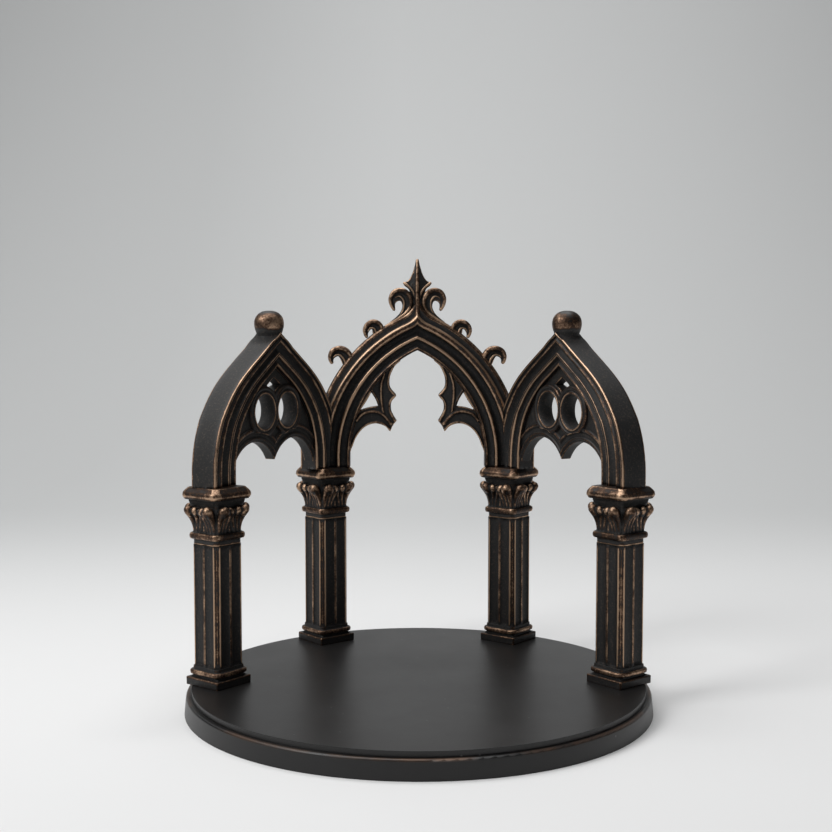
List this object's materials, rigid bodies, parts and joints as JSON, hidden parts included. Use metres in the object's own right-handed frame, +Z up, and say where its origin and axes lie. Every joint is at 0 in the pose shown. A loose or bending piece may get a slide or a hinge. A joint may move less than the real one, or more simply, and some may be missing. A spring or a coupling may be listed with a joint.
{
  "type": "miniature terrain ruin",
  "caption": "Gothic arcade scenery piece: fluted columns carry pointed tracery arches round the back of a low round base, open at the front.",
  "frame": {"origin": "centre of the round base's underside", "axes": "+Z up, the open front faces -Y, +X to the viewer's right from the front"},
  "size_m": [0.1008, 0.1, 0.0977],
  "materials": {
    "antique_bronze": "cast, blackened, edges rubbed back to warm bronze",
    "base_black": "moulded, satin black, lip lightly rubbed with bronze",
    "fixings_steel": "plain machined steel"
  },
  "bodies": {
    "root": {"base_plate": "base_black", "foot_left_front": "antique_bronze", "shaft_left_front": "antique_bronze", "capital_left_front": "antique_bronze", "abacus_left_front": "antique_bronze", "foot_left_rear": "antique_bronze", "shaft_left_rear": "antique_bronze", "capital_left_rear": "antique_bronze", "abacus_left_rear": "antique_bronze", "foot_right_rear": "antique_bronze", "shaft_right_rear": "antique_bronze", "capital_right_rear": "antique_bronze", "abacus_right_rear": "antique_bronze", "foot_right_front": "antique_bronze", "shaft_right_front": "antique_bronze", "capital_right_front": "antique_bronze", "abacus_right_front": "antique_bronze", "left_arch": "antique_bronze", "centre_arch": "antique_bronze", "right_arch": "antique_bronze", "left_tracery": "antique_bronze", "right_tracery": "antique_bronze", "left_ball_finial": "antique_bronze", "right_ball_finial": "antique_bronze", "left_cusp": "antique_bronze", "right_cusp": "antique_bronze", "left_low_crocket": "antique_bronze", "left_high_crocket": "antique_bronze", "right_low_crocket": "antique_bronze", "right_high_crocket": "antique_bronze", "spear_finial": "antique_bronze", "tie_rods": "fixings_steel", "arch_dowels": "fixings_steel"}
  },
  "joints": []
}
